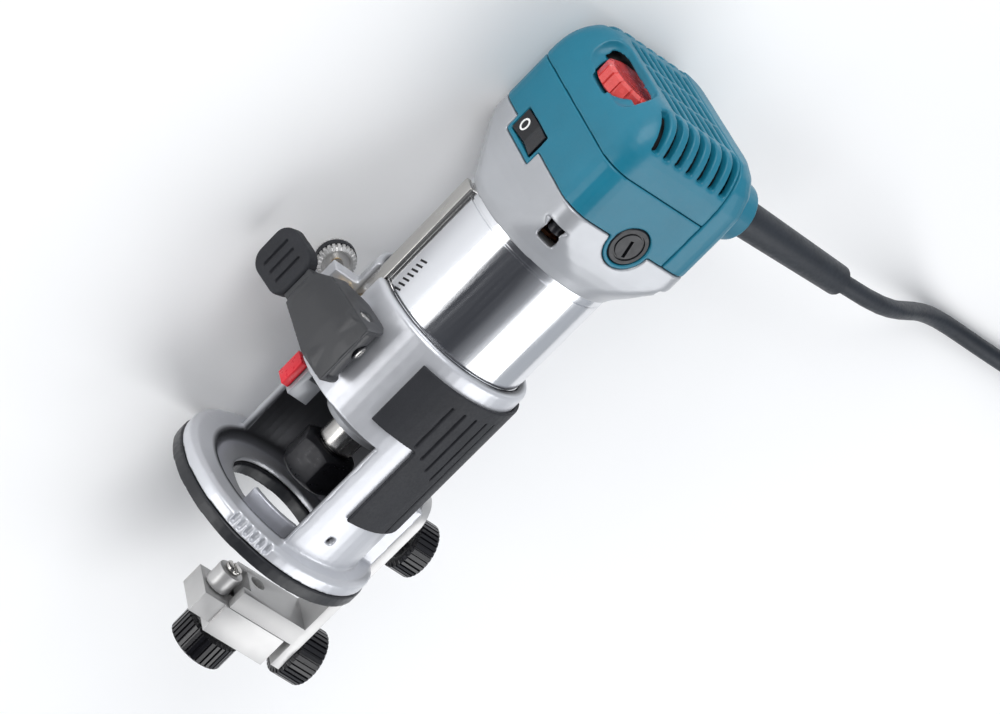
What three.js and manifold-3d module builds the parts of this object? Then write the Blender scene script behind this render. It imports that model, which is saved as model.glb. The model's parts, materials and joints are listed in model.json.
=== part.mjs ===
// Trim router lying on its left side, with a fixed base, a depth adjuster and a trimmer guide.
// Every piece is modelled in the tool's own frame and laid down at the end:
// +Z is the motor axis, from the base to the head, z = 0 is the underside of the base plate,
// -Y is the front with the switch, and +X is the side that faces up when the tool lies down.
import * as THREE from "three";
import { mergeVertices } from "three/addons/utils/BufferGeometryUtils.js";
import Module from "manifold-3d";

const wasm = await Module();
wasm.setup();

// ---- Driving dimensions, mm ----
const GAP = 0.3; // clearance between touching pieces
const BARREL_R = 32.5;
const BARREL_BOTTOM = 60.5;
const BARREL_TOP = 158;
const FLARE_BOTTOM = 151.4;
const RACK_TOP = FLARE_BOTTOM - 0.8;
const FLARE_TOP = 178.7;
const SPLIT_Z = 199; // joint between the lower and upper head housings
const HEAD_TOP = 224;
const HEAD_HALF_X = 37.5;
const HEAD_HALF_Y = 32.6;
const HEAD_CENTRE_Y = 0.95;
const HEAD_CORNER = 10;
const HEAD_WALL = 2.5;
const REAR_SEAM_Y = 17.5; // the rear cord cover starts here
const CORD_Z = 199;
const CORD_BOSS_R = 13;
const CORD_BOSS_END = 58;
const BRUSH_Z = 178.5;
const BRUSH_CAP_R = 7.9;
const SWITCH = { x: -7.7, z: 179.3, width: 19.5, height: 10 };
const DIAL = { r: 14, z: 214.5, thickness: 7.5, y: -17 };
const NUT_BOTTOM = 22.5;
const NUT_TOP = 38.6;
const NUT_FLATS = 22;
const SHAFT_R = 7.5;
const NOSE_BOTTOM = 50.6;

const BASE_TURN = -11; // degrees: the base is turned this far about the motor axis
const PLATE_R = 45.2;
const PLATE_TOP = 5;
const FLANGE_R = 44.7;
const FLANGE_BOTTOM = PLATE_TOP + GAP;
const FLANGE_TOP = 11.2;
const FLOOR_TOP = 7.9; // inside the sleeve
const FLANGE_FLAT_Y = 41.7; // flat at the back that carries the trimmer guide
const SLEEVE_R = 36.8;
const SLEEVE_BOTTOM = 62;
const SLEEVE_TOP = 104.7;
const WINDOW = { right: 78.8, left: -63 }; // degrees from the front, towards +X
const SPLIT_X = -3.4; // centre of the sleeve's split
const SPLIT_HALF = 5;

const LEVER = {
  corner: new THREE.Vector2(33, -42), // front corner at the pivot end
  angle: 207.7, // direction from the pivot end to the pad, degrees from +X
  length: 58.7,
  z: 83.5,
  height: 26,
  pivot: new THREE.Vector2(9, -6.5), // along the lever and outwards from the corner
};
const BOLT = { y: -40.4, z: 81, r: 2.7 };
const PINION = { y: -38, z: 88.5, r: 3.2 };
const LUGS = { front: -46, bottom: 74, top: 93.5 };

const GUIDE = {
  halfX: 10,
  plateY: 42,
  plateTop: 42.7,
  blockTop: -27,
  armTop: -35.4,
  armBottom: -49.4,
};
const GUARD_END = 121;
const CORD_D = 7.5; // the cord is 2.5 m long

// ---- Geometry helpers ----

// A closed three.js geometry as a manifold-3d solid.
function solid(geometry) {
  const plain = geometry.index ? geometry.toNonIndexed() : geometry.clone();
  const bare = new THREE.BufferGeometry();
  bare.setAttribute("position", plain.getAttribute("position"));
  const merged = mergeVertices(bare, 1e-4);
  return new wasm.Manifold(
    new wasm.Mesh({
      numProp: 3,
      vertProperties: merged.attributes.position.array,
      triVerts: new Uint32Array(merged.index.array),
    }),
  );
}

// A manifold-3d solid as a three.js geometry.
function geometryOf(body) {
  const mesh = body.getMesh();
  const geometry = new THREE.BufferGeometry();
  const positions = new Float32Array(mesh.numVert * 3);
  for (let i = 0; i < mesh.numVert; i++) {
    const start = i * mesh.numProp;
    positions.set(mesh.vertProperties.subarray(start, start + 3), i * 3);
  }
  geometry.setAttribute("position", new THREE.BufferAttribute(positions, 3));
  geometry.setIndex(new THREE.BufferAttribute(mesh.triVerts, 1));
  geometry.computeVertexNormals();
  return geometry;
}

const join = (first, ...rest) => rest.reduce((sum, next) => sum.add(next), first);
const cut = (first, ...rest) => rest.reduce((left, next) => left.subtract(next), first);

function box(x0, x1, y0, y1, z0, z1) {
  const geometry = new THREE.BoxGeometry(x1 - x0, y1 - y0, z1 - z0);
  return solid(geometry.translate((x0 + x1) / 2, (y0 + y1) / 2, (z0 + z1) / 2));
}

// A cylinder or cone between two heights along "x", "y" or "z", centred on the other two axes.
function rod(axis, r, from, to, [a, b] = [0, 0], segments = 24, endR = r) {
  const geometry = new THREE.CylinderGeometry(endR, r, to - from, segments);
  geometry.translate(0, (from + to) / 2, 0);
  if (axis === "z") geometry.rotateX(Math.PI / 2).translate(a, b, 0);
  if (axis === "x") geometry.rotateZ(-Math.PI / 2).translate(0, a, b);
  if (axis === "y") geometry.translate(a, 0, b);
  return solid(geometry);
}

// A turned solid about the Z axis from a closed outline of [radius, z] points.
function turned(outline, segments = 40) {
  const points = outline.map(([r, z]) => new THREE.Vector2(r, z));
  if (THREE.ShapeUtils.area(points) < 0) points.reverse();
  points.push(points[0].clone());
  return solid(new THREE.LatheGeometry(points, segments).rotateX(Math.PI / 2));
}

const ring = (inner, outer, z0, z1, segments = 40) =>
  turned([[inner, z0], [outer, z0], [outer, z1], [inner, z1]], segments);

// An upright prism from [x, y] points.
function prism(points, z0, z1) {
  const shape = new THREE.Shape(points.map(([x, y]) => new THREE.Vector2(x, y)));
  const geometry = new THREE.ExtrudeGeometry(shape, { depth: z1 - z0, bevelEnabled: false });
  return solid(geometry.translate(0, 0, z0));
}

// The points of a regular polygon, given its distance across flats.
function polygon(sides, acrossFlats, turn = 0) {
  const r = acrossFlats / 2 / Math.cos(Math.PI / sides);
  return Array.from({ length: sides }, (_, i) => {
    const angle = turn + (2 * Math.PI * (i + 0.5)) / sides;
    return [r * Math.cos(angle), r * Math.sin(angle)];
  });
}

// The points of a toothed or fluted outline.
function toothed(count, outer, inner) {
  return Array.from({ length: count * 4 }, (_, i) => {
    const angle = (Math.PI * i) / (2 * count);
    const r = i % 4 < 2 ? outer : inner;
    return [r * Math.cos(angle), r * Math.sin(angle)];
  });
}

// A rounded rectangle with its corner arcs, in steps of a quarter turn over arcSteps.
function roundedOutline(halfX, halfY, corner, centreY = 0, arcSteps = 5) {
  const points = [];
  [[1, 1], [-1, 1], [-1, -1], [1, -1]].forEach(([sx, sy], quarter) => {
    for (let i = 0; i <= arcSteps; i++) {
      const angle = ((quarter + i / arcSteps) * Math.PI) / 2;
      points.push([
        sx * (halfX - corner) + corner * Math.cos(angle),
        centreY + sy * (halfY - corner) + corner * Math.sin(angle),
      ]);
    }
  });
  return points;
}

// A solid through level outlines that all have the same number of points.
function loft(levels) {
  const count = levels[0].points.length;
  const positions = levels.flatMap(({ z, points }) => points.flatMap(([x, y]) => [x, y, z]));
  const index = [];
  for (let level = 0; level + 1 < levels.length; level++) {
    for (let i = 0; i < count; i++) {
      const a = level * count + i;
      const b = level * count + ((i + 1) % count);
      index.push(a, b, b + count, a, b + count, a + count);
    }
  }
  const last = (levels.length - 1) * count;
  for (let i = 1; i + 1 < count; i++) {
    index.push(0, i + 1, i, last, last + i, last + i + 1);
  }
  const geometry = new THREE.BufferGeometry();
  geometry.setAttribute("position", new THREE.Float32BufferAttribute(positions, 3));
  geometry.setIndex(index);
  return solid(geometry);
}

// A wedge that covers the directions from one angle to another, in degrees from the front (-Y).
function sector(from, to, r, z0, z1) {
  const steps = 8;
  const points = [[0, 0]];
  for (let i = 0; i <= steps; i++) {
    const angle = THREE.MathUtils.degToRad(from + ((to - from) * i) / steps);
    points.push([r * Math.sin(angle), -r * Math.cos(angle)]);
  }
  return prism(points, z0, z1);
}

// ---- Materials ----
const finish = (color, roughness, metalness) => ({ color, roughness, metalness });
const FINISH = {
  teal: finish(0x2f8ba6, 0.45, 0),
  grey: finish(0xbfc1c5, 0.4, 0.3),
  polished: finish(0xd8dadd, 0.18, 1),
  casting: finish(0xd2d4d9, 0.38, 0.8),
  black: finish(0x1c1c20, 0.4, 0),
  rubber: finish(0x35363b, 0.8, 0),
  steel: finish(0xb8b6b2, 0.3, 1),
  nickel: finish(0xc6c4c0, 0.35, 1),
  brass: finish(0xb5924a, 0.35, 1),
  copper: finish(0xb06a3c, 0.4, 1),
  dial: finish(0xd86a68, 0.35, 0),
  red: finish(0xe62a35, 0.4, 0),
  carbon: finish(0x2a2a2a, 0.7, 0),
};

// Adds one named sub-part to a group.
function add(group, name, body, finishName) {
  const mesh = new THREE.Mesh(geometryOf(body), new THREE.MeshStandardMaterial(FINISH[finishName]));
  mesh.name = name;
  group.add(mesh);
  return mesh;
}

// ---- Motor unit ----

// The head's outline at a height: square with round corners, smaller towards the top.
const headOutline = (inset, cornerExtra = 0) =>
  roundedOutline(
    HEAD_HALF_X - inset,
    HEAD_HALF_Y - inset,
    HEAD_CORNER + cornerExtra,
    HEAD_CENTRE_Y,
  );

// The straight part of the head between two heights.
const straightHead = (z0, z1, inset) =>
  loft([{ z: z0, points: headOutline(inset) }, { z: z1, points: headOutline(inset) }]);

function buildBarrel(group) {
  const inner = BARREL_R - 2.5;
  const shell = turned([
    [20, BARREL_BOTTOM], [BARREL_R - 1.5, BARREL_BOTTOM], [BARREL_R, BARREL_BOTTOM + 1.5],
    [BARREL_R, BARREL_TOP], [inner, BARREL_TOP], [inner, BARREL_BOTTOM + 3], [20, BARREL_BOTTOM + 3],
  ], 48);
  add(group, "motor_barrel", shell, "polished");
  const nose = turned([
    [8, NOSE_BOTTOM], [14, NOSE_BOTTOM], [14.5, NOSE_BOTTOM + 2.4], [28, BARREL_BOTTOM - GAP],
    [19.7, BARREL_BOTTOM - GAP], [19.7, 70], [16.3, 70], [16.3, 57], [8, 57],
  ]);
  add(group, "nose_cover", nose, "grey");
  add(group, "lower_bearing", ring(SHAFT_R + GAP, 16, 57.3, 68, 32), "steel");
  const stator = turned([
    [17.6, 100], [18.5, 94], [27, 94], [27, 100], [inner - GAP, 100], [inner - GAP, 146],
    [27, 146], [27, 152], [18.5, 152], [17.6, 146],
  ], 32);
  add(group, "stator", stator, "steel");
  add(group, "upper_bearing", ring(4.3, 11, 190, 197, 24), "steel");
  const bracket = cut(
    box(-30, 30, -6, 6, 197.3, 200.3),
    rod("z", 6, 196, 202, [0, 0], 20),
  );
  add(group, "bearing_bracket", join(bracket, ring(11.3, 14, 189, 197.4, 24)), "black");
}

function buildRack(group) {
  const turn = new THREE.Group();
  turn.rotation.z = THREE.MathUtils.degToRad(BASE_TURN);
  group.add(turn);
  const strip = box(SPLIT_X - 4, SPLIT_X + 4, -BARREL_R - 2, -BARREL_R + 0.2, 64, RACK_TOP);
  let rack = cut(strip, rod("z", BARREL_R + GAP, 60, RACK_TOP + 1, [0, 0], 96));
  const pitch = 2.8;
  for (let z = 66; z < 118; z += pitch) {
    rack = cut(rack, box(SPLIT_X - 5, SPLIT_X + 5, -BARREL_R - 3, -BARREL_R - 1.1, z, z + pitch / 2));
  }
  add(turn, "depth_rack", rack, "steel");
  const block = cut(
    box(-9, 2.5, -31, -17, 47, BARREL_BOTTOM - GAP),
    rod("z", 22, 40, 57, [0, 0], 40),
    rod("z", 28.4, 56, 62, [0, 0], 40),
  );
  add(turn, "nose_block", block, "grey");
  const index = box(SPLIT_X - 4, SPLIT_X + 4, -BARREL_R - 2, -BARREL_R + 1.2, 48, BARREL_BOTTOM - 1);
  add(turn, "index_strip", index, "red");
}

function buildHead(group) {
  const circle = roundedOutline(BARREL_R + 0.5, BARREL_R + 0.5, BARREL_R + 0.5, 0);
  const capHole = (r) => join(
    rod("x", r, 29, 39, [0, BRUSH_Z], 28),
    rod("x", r, -39, -29, [0, BRUSH_Z], 28),
  );
  const switchHole = box(
    SWITCH.x - SWITCH.width / 2 - 1.6, SWITCH.x + SWITCH.width / 2 + 1.6, -36, -26,
    SWITCH.z - SWITCH.height / 2 - 2, 205,
  );
  let flare = loft([
    { z: FLARE_BOTTOM, points: circle },
    { z: 155.5, points: roundedOutline(34.3, 34, 32, 0.1) },
    { z: 159.2, points: roundedOutline(35.6, 33.6, 27, 0.4) },
    { z: 163, points: roundedOutline(36.6, 33, 21, 0.6) },
    { z: 167, points: roundedOutline(37.2, 32.7, 15, 0.8) },
    { z: 172, points: headOutline(0) },
    { z: FLARE_TOP - GAP, points: headOutline(0) },
  ]);
  flare = cut(
    flare,
    rod("z", BARREL_R + GAP, 150, BARREL_TOP + GAP, [0, 0], 48),
    loft([
      { z: BARREL_TOP - 1, points: roundedOutline(28, 28, 28, 0) },
      { z: FLARE_TOP + 1, points: headOutline(HEAD_WALL) },
    ]),
    capHole(BRUSH_CAP_R + 2.1),
    switchHole,
  );
  const pocket = { x: 31, y: 25.6, r: 2.8 };
  const corners = [
    ["front_right", 1, -1], ["front_left", -1, -1], ["rear_right", 1, 1], ["rear_left", -1, 1],
  ].map(([name, sx, sy]) => ({ name, at: [sx * pocket.x, HEAD_CENTRE_Y + sy * pocket.y] }));
  for (const { at } of corners) {
    flare = cut(flare, rod("z", 3.8, 150, 170.5, at, 16), rod("z", 1.8, 170, 180, at, 12));
  }
  add(group, "flare_housing", flare, "grey");
  for (const { name, at } of corners) {
    const screw = join(rod("z", pocket.r, 166.5, 170.2, at, 12), rod("z", 1.4, 170, 178, at, 10));
    add(group, "head_screw_" + name, screw, "steel");
  }

  const rearCut = box(-45, 45, REAR_SEAM_Y, 70, 150, 230);
  let lower = cut(
    straightHead(FLARE_TOP, SPLIT_Z, 0),
    straightHead(FLARE_TOP - 1, SPLIT_Z + 1, HEAD_WALL),
    rearCut,
  );
  for (const side of [-1, 1]) {
    const ends = [side * 31, side * HEAD_HALF_X].sort((a, b) => a - b);
    lower = join(lower, rod("x", BRUSH_CAP_R + 1.8, ...ends, [0, BRUSH_Z], 28));
  }
  const apron = box(
    SWITCH.x - SWITCH.width / 2 - 1.3, SWITCH.x + SWITCH.width / 2 + 1.3, -31.65, -29,
    SWITCH.z - SWITCH.height / 2 - 1.7, 190,
  );
  lower = cut(join(lower, apron), capHole(BRUSH_CAP_R + GAP), box(
    SWITCH.x - SWITCH.width / 2, SWITCH.x + SWITCH.width / 2, -36, -26,
    SWITCH.z - SWITCH.height / 2, SWITCH.z + SWITCH.height / 2,
  ));
  add(group, "lower_head_housing", lower, "teal");

  const domeLevels = (inset, drop) => [
    { z: SPLIT_Z + GAP - drop, points: headOutline(inset) },
    { z: 208 - drop, points: headOutline(inset + 0.3) },
    { z: 216 - drop, points: headOutline(inset + 2.2) },
    { z: 221 - drop, points: headOutline(inset + 5) },
    { z: HEAD_TOP - drop, points: headOutline(inset + 9, -1.5) },
  ];
  const dome = cut(loft(domeLevels(0, 0)), loft(domeLevels(HEAD_WALL, HEAD_WALL)));
  let upper = cut(dome, rearCut, rod("z", DIAL.r + 0.6, DIAL.z - 4.2, DIAL.z + 4.2, [0, DIAL.y], 28));
  const slots = [];
  for (let row = 0; row < 9; row++) {
    const y = -16.5 + row * 3.5;
    for (const x of [-22, -7, 8]) slots.push(box(x, x + 13, y, y + 1.7, 218, 230));
  }
  for (let column = 0; column < 6; column++) {
    const y = -14.5 + column * 4.8;
    for (const x of [-40, 29]) slots.push(box(x, x + 11, y, y + 2, 208, 219));
  }
  upper = cut(upper, ...slots);
  add(group, "upper_head_cover", upper, "teal");

  const rearKeep = box(-45, 45, REAR_SEAM_Y + GAP, 70, FLARE_TOP, 230);
  const whole = join(
    straightHead(FLARE_TOP, SPLIT_Z + 1, 0),
    loft(domeLevels(0, 0)),
  );
  const hollow = join(
    straightHead(FLARE_TOP - 1, SPLIT_Z + 1, HEAD_WALL),
    loft(domeLevels(HEAD_WALL, HEAD_WALL)),
  );
  const boss = rod("y", CORD_BOSS_R + 2.5, 30, CORD_BOSS_END, [0, CORD_Z], 32, CORD_BOSS_R - 1.5);
  const rear = cut(
    join(whole.intersect(rearKeep), boss),
    hollow,
    rod("y", 7.6, 25, 60, [0, CORD_Z], 24),
    rod("y", 9.6, 25, 40.9, [0, CORD_Z], 24),
  );
  add(group, "rear_cord_cover", rear, "teal");
}

function buildElectrics(group) {
  for (const [side, name] of [[-1, "left"], [1, "right"]]) {
    const span = (near, far) => [side * near, side * far].sort((a, b) => a - b);
    const cap = cut(
      rod("x", BRUSH_CAP_R, ...span(31.5, HEAD_HALF_X - 0.1), [0, BRUSH_Z], 28),
      box(...span(HEAD_HALF_X - 1.2, HEAD_HALF_X + 1), -6.2, 6.2, BRUSH_Z - 0.9, BRUSH_Z + 0.9),
    );
    add(group, "brush_cap_" + name, cap, "black");
    const holder = cut(
      box(...span(15, 31), -4.6, 4.6, BRUSH_Z - 5.6, BRUSH_Z + 5.6),
      box(...span(14, 32), -3.3, 3.3, BRUSH_Z - 4.3, BRUSH_Z + 4.3),
    );
    add(group, "brush_holder_" + name, holder, "brass");
    add(group, "carbon_brush_" + name, box(...span(12.1, 27), -3, 3, BRUSH_Z - 4, BRUSH_Z + 4), "carbon");
  }
  const housing = box(
    SWITCH.x - SWITCH.width / 2 + 1, SWITCH.x + SWITCH.width / 2 - 1, -24.5, -15.2,
    SWITCH.z - 4, SWITCH.z + 4,
  );
  add(group, "switch_body", housing, "black");
  const guard = turned([
    [CORD_D / 2 + GAP, 34], [9.2, 34], [9.2, 40], [7.3, 40.5], [7.3, CORD_BOSS_END + 2],
    [6.1, GUARD_END], [CORD_D / 2 + GAP, GUARD_END],
  ], 20);
  add(group, "cord_guard", lay(guard, "y", 0, 0, CORD_Z), "rubber");
}

// ---- Pieces that move with the motor ----

function buildSpindle(group) {
  const shaft = cut(
    turned([
      [0, NUT_TOP + 1], [SHAFT_R, NUT_TOP + 1], [SHAFT_R, 70], [5, 72], [5, 165], [4, 166],
      [4, 199], [0, 199],
    ], 28),
    rod("z", 5.4, NUT_TOP - 2, 56, [0, 0], 24, 3.6),
  );
  add(group, "spindle", shaft, "steel");
  const blades = [];
  for (let i = 0; i < 9; i++) {
    const blade = box(9, 26.5, -0.8, 0.8, 80, 90);
    blades.push(blade.rotate([0, 0, i * 40]));
  }
  const disc = join(ring(5.3, 10, 79, 90.5, 28), ring(9, 26.5, 78, 80.3, 36));
  add(group, "cooling_fan", join(disc, ...blades), "black");
  const core = cut(prism(toothed(12, 17.2, 14.6), 101, 145), rod("z", 5.3, 100, 150, [0, 0], 20));
  add(group, "armature_core", core, "steel");
  add(group, "armature_winding", ring(5.3, 14, 145.3, 158, 28), "copper");
  add(group, "commutator", ring(5.3, 11.8, 169, 188, 28), "copper");
}

function buildCollet(group) {
  const outer = turned([
    [3.2, 26], [5.6, 26], [5.6, NUT_TOP - 2], [5.0, NUT_TOP + 1.3], [3.5, 54], [3.2, 54],
  ], 24);
  add(group, "collet", outer, "steel");
  const nut = cut(
    prism(polygon(6, NUT_FLATS), NUT_BOTTOM, NUT_TOP),
    rod("z", 5.9, NUT_BOTTOM + 2, NUT_TOP + 1, [0, 0], 24),
    rod("z", 5, NUT_BOTTOM - 1, NUT_TOP, [0, 0], 24),
  );
  const bevel = turned([
    [0, NUT_BOTTOM], [10.4, NUT_BOTTOM], [12.9, NUT_BOTTOM + 2.6], [12.9, NUT_TOP - 2.4],
    [9.5, NUT_TOP], [0, NUT_TOP],
  ], 36);
  add(group, "collet_nut", nut.intersect(bevel), "black");
}

function buildControls(group) {
  const rocker = prism(
    [[-8.9, -31.9], [-0.3, -30.4], [0.3, -30.4], [8.9, -31.9], [8, -26], [0, -25], [-8, -26]],
    SWITCH.z - SWITCH.height / 2 + 0.5,
    SWITCH.z + SWITCH.height / 2 - 0.5,
  );
  add(group, "power_rocker", rocker.translate([SWITCH.x, 0, 0]), "black");
  const wheel = prism(toothed(18, DIAL.r, DIAL.r - 0.8), -DIAL.thickness / 2, DIAL.thickness / 2);
  const dial = cut(wheel, rod("z", 3, -10, 10, [0, 0], 16)).translate([0, DIAL.y, DIAL.z]);
  add(group, "speed_dial", dial, "dial");
}

// ---- Base ----

function buildBase(group) {
  let casting = turned([
    [22, FLANGE_BOTTOM], [FLANGE_R, FLANGE_BOTTOM], [FLANGE_R, FLANGE_TOP - 1.5],
    [FLANGE_R - 2.5, FLANGE_TOP],
    [SLEEVE_R, FLANGE_TOP], [SLEEVE_R, SLEEVE_TOP - 1], [SLEEVE_R - 1, SLEEVE_TOP],
    [BARREL_R + GAP, SLEEVE_TOP], [BARREL_R + GAP, SLEEVE_BOTTOM], [33.1, SLEEVE_BOTTOM],
    [33.1, FLANGE_TOP], [31, FLOOR_TOP], [22, FLOOR_TOP],
  ], 60);
  const lugs = join(
    box(SPLIT_X - 12, SPLIT_X - 2, LUGS.front, -32, LUGS.bottom, LUGS.top),
    box(SPLIT_X + 2, 12, LUGS.front, -30, LUGS.bottom, LUGS.top),
  ).subtract(rod("z", BARREL_R + GAP, 60, 110, [0, 0], 60));
  const rim = ring(26.5, 29.3, 7, 16, 48).intersect(sector(40, 84, 50, 0, 20));
  casting = join(casting, lugs, rim, box(-11, 11, 34, FLANGE_FLAT_Y, FLANGE_BOTTOM, 40));
  casting = cut(
    casting,
    sector(WINDOW.left, WINDOW.right, 60, FLANGE_TOP, SLEEVE_BOTTOM).subtract(
      ring(26.4, 29.4, 6, 17, 48),
    ),
    box(SPLIT_X - SPLIT_HALF, SPLIT_X + SPLIT_HALF, -60, -20, 61, 110),
    rod("x", BOLT.r + GAP, -30, 20, [BOLT.y, BOLT.z], 20),
    rod("x", 2.4, -30, SPLIT_X, [PINION.y, PINION.z], 20),
    box(-60, 60, FLANGE_FLAT_Y, 60, 0, 60),
    box(-3.3, 3.3, 33, 60, 4.5, 33),
    rod("z", BARREL_R + GAP, 34, SLEEVE_TOP + 1, [0, 0], 60),
  );
  const screws = [30, 150, 270].map((degrees) => {
    const angle = THREE.MathUtils.degToRad(degrees);
    return [38.5 * Math.cos(angle), 38.5 * Math.sin(angle)];
  });
  for (const at of screws) casting = cut(casting, rod("z", 2.2, 4, 9.6, at, 12));
  add(group, "base_casting", casting, "casting");

  let plate = cut(rod("z", PLATE_R, 0, PLATE_TOP, [0, 0], 72), rod("z", 21, -1, 6, [0, 0], 48));
  plate = cut(plate, box(-60, 60, FLANGE_FLAT_Y, 60, -1, 6));
  for (const at of screws) {
    plate = cut(plate, rod("z", 2.2, -1, 6, at, 12), rod("z", 4, -1, 1.9, at, 16));
  }
  add(group, "base_plate", plate, "black");
  screws.forEach((at, i) => {
    const screw = join(rod("z", 3.6, 0.4, 1.6, at, 16), rod("z", 1.8, 1.5, 9.2, at, 10));
    add(group, "plate_screw_" + (i + 1), screw, "steel");
  });

  const pad = join(
    ring(SLEEVE_R + GAP, SLEEVE_R + 1.8, 70, 98, 60).intersect(sector(64, 180, 60, 69, 99)),
    ring(SLEEVE_R + GAP, SLEEVE_R + 1.8, 33, 71, 60).intersect(sector(96, 156, 60, 32, 72)),
  );
  add(group, "grip_pad", pad, "rubber");
}

// The lever's own frame: X from the pivot end to the pad, Y outwards, Z along the motor axis.
function placeLever(body) {
  return body
    .rotate([0, 0, LEVER.angle])
    .translate([LEVER.corner.x, LEVER.corner.y, LEVER.z]);
}

function pivotPoint() {
  return LEVER.pivot
    .clone()
    .rotateAround(new THREE.Vector2(), THREE.MathUtils.degToRad(LEVER.angle))
    .add(LEVER.corner);
}

function buildLever(group) {
  const half = LEVER.height / 2;
  const [px, py] = LEVER.pivot.toArray();
  const outline = prism([
    [0, 0], [0.2, py], [1.6, py - 4.6], [5, py - 7.6], [px, py - 8.5], [17, -15], [29, -8],
    [40, -6], [40, 0],
  ], -half, half);
  const side = prism([
    [0, half], [27, half], [36, 7], [40, 7], [40, -7], [35, -7], [14, -half], [0, -half],
  ], -20, 20).transform(new THREE.Matrix4().makeRotationX(Math.PI / 2).toArray());
  const hollow = prism([[-1, -2], [-1, -30], [26, -30], [30, -9], [27, -2]], -half + 2, half - 2);
  let lever = cut(outline.intersect(side), hollow);
  const pad = box(37.7, LEVER.length, -6, -0.6, -10.3, 10.3);
  const eyeSpace = 5; // half height left for the bolt's eye
  const eyeZ = BOLT.z - LEVER.z;
  const cheeks = [
    rod("z", 7, 1 - half, eyeZ - eyeSpace, [px, py], 24),
    rod("z", 7, eyeZ + eyeSpace, half - 1, [px, py], 24),
  ];
  lever = cut(join(lever, ...cheeks, box(36, 40, -5, -1, -6, 6)), box(37.4, 60, -10, 5, -20, 20));
  lever = cut(join(lever, box(37, 56, -3.6, -2.4, -6, 6)), rod("z", 2.8, -20, 20, [px, py], 20));
  const grooves = [44, 48, 52].map((x) => box(x, x + 1.2, -1.4, 0, -6.5, 6.5));
  add(group, "clamp_lever", placeLever(lever), "black");
  add(group, "lever_pad", placeLever(cut(pad, box(30, 56.3, -3.9, -2.1, -6.3, 6.3), ...grooves)), "rubber");
}

// A solid made upright at the origin, laid along an axis and moved to its place.
function lay(body, axis, x, y, z) {
  const place = new THREE.Matrix4().makeTranslation(x, y, z);
  const turn = new THREE.Matrix4();
  if (axis === "x") turn.makeRotationY(Math.PI / 2);
  if (axis === "y") turn.makeRotationX(-Math.PI / 2);
  return body.transform(place.multiply(turn).toArray());
}

function buildClamp(group) {
  const pivot = pivotPoint().toArray();
  const eyeHalf = 4.6;
  const bolt = join(
    rod("x", BOLT.r, -22, pivot[0], [BOLT.y, BOLT.z], 20),
    rod("z", 4.1, BOLT.z - eyeHalf, BOLT.z + eyeHalf, pivot, 24),
  ).subtract(rod("z", 2.8, 60, 100, pivot, 20));
  add(group, "clamp_bolt", bolt, "steel");
  const half = LEVER.height / 2 - 0.5;
  add(group, "lever_pin", rod("z", 2.5, LEVER.z - half, LEVER.z + half, pivot, 20), "steel");
  const nutThickness = 4.5;
  const nut = lay(prism(polygon(6, 8), 0, nutThickness), "x", -20.3, BOLT.y, BOLT.z);
  add(group, "lock_nut", nut.subtract(rod("x", 3, -30, 0, [BOLT.y, BOLT.z], 20)), "nickel");
}

function buildDepthKnob(group) {
  const at = [PINION.y, PINION.z];
  const knobEnd = -33;
  const fluted = lay(prism(toothed(14, 7.5, 6.6), 0, 7.5), "x", knobEnd, ...at);
  add(group, "depth_knob", cut(fluted, rod("x", 2.4, knobEnd + 1.5, -10, at, 20)), "nickel");
  const shaft = join(
    rod("x", 2.1, knobEnd + 1.8, SPLIT_X - 3.8, at, 20),
    lay(prism(toothed(10, PINION.r, PINION.r - 1), 0, 8), "x", SPLIT_X - 4, ...at),
  );
  add(group, "depth_pinion", shaft, "brass");
}

// ---- Trimmer guide ----
const SCREW_UPPER_Z = 21.7;
const ADJUSTER_Z = -41.2;
const SCREW_LOWER = [-3, 20.4];
const ROLLER = [0, 6.5];

function buildGuideHolder(group) {
  const { halfX, plateY, plateTop, blockTop, armTop } = GUIDE;
  const plate = join(
    box(-halfX, halfX, plateY, plateY + 4, -47, plateTop - halfX),
    rod("y", halfX, plateY, plateY + 4, [0, plateTop - halfX], 28),
    box(-halfX, halfX, 11.5, plateY + 0.1, armTop, blockTop),
  );
  const holder = cut(
    plate,
    rod("y", 3.3, 40, 50, [0, SCREW_UPPER_Z], 20),
    rod("y", 3.3, 40, 50, [0, ADJUSTER_Z], 20),
    rod("z", 3.3, armTop - 1, blockTop + 1, SCREW_LOWER, 20),
    box(-6, 6, 0, 15.5, armTop - 1, blockTop + 1),
  );
  add(group, "guide_holder", holder, "nickel");
}

// A ribbed clamping knob that points along +Z with its foot at zero.
const ribbedKnob = (r, length) => prism(toothed(18, r, r - 0.9), 0, length);

function buildGuideScrews(group) {
  const upper = join(
    rod("z", 2.9, 0, 14, [0, 0], 16),
    rod("z", 6.5, 9.3, 12.3, [0, 0], 24),
    ribbedKnob(11.5, 10.5).translate([0, 0, 12.2]),
  );
  add(group, "clamp_screw_upper", lay(upper, "y", 0, 37, SCREW_UPPER_Z), "black");
  const adjuster = join(
    rod("z", 2.9, 0, 16, [0, 0], 16),
    ribbedKnob(12, 12.5).translate([0, 0, 14.3]),
  );
  add(group, "adjusting_screw", lay(adjuster, "y", 0, 32, ADJUSTER_Z), "black");
  const lower = join(
    rod("z", 2.9, -56, -29, SCREW_LOWER, 16),
    rod("z", 6.5, -54.6, -49.7, SCREW_LOWER, 24),
    ribbedKnob(12.2, 9.6).translate([...SCREW_LOWER, -64]),
  );
  add(group, "clamp_screw_lower", lower, "black");
}

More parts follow.
